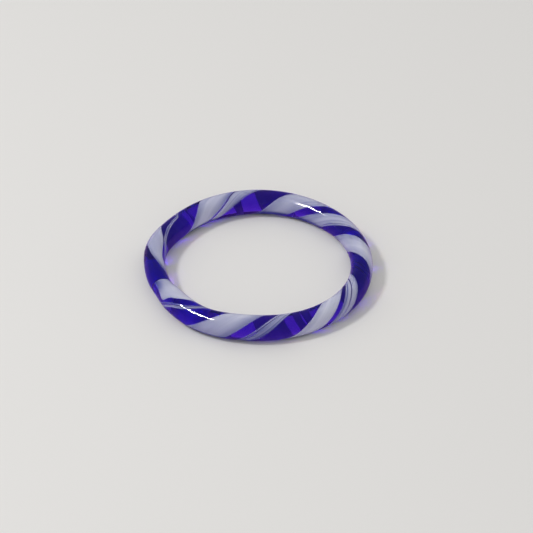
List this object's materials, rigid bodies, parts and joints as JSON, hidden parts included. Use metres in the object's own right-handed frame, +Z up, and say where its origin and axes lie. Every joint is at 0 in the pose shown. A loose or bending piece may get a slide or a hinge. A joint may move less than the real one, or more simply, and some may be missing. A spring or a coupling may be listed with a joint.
{
  "type": "bangle bracelet",
  "caption": "Closed glass bangle: a cobalt blue glass rod bent into a ring, with white opal glass ribbons twisted round it and set flush.",
  "frame": {"origin": "centre of the ring's outline, on the surface that the ring lies on", "axes": "+Z up through the wrist opening; the ring lies in the XY plane with its fused joint at 203 degrees counter-clockwise from +X"},
  "size_m": [0.0798, 0.0799, 0.0092],
  "materials": {
    "cobalt_glass": "fire polished, transparent",
    "opal_glass": "fire polished, milky"
  },
  "bodies": {
    "root": {"cobalt_rod": "cobalt_glass", "wide_ribbon": "opal_glass", "narrow_ribbon": "opal_glass", "fine_thread": "opal_glass", "joint_glass": "cobalt_glass"}
  },
  "joints": []
}
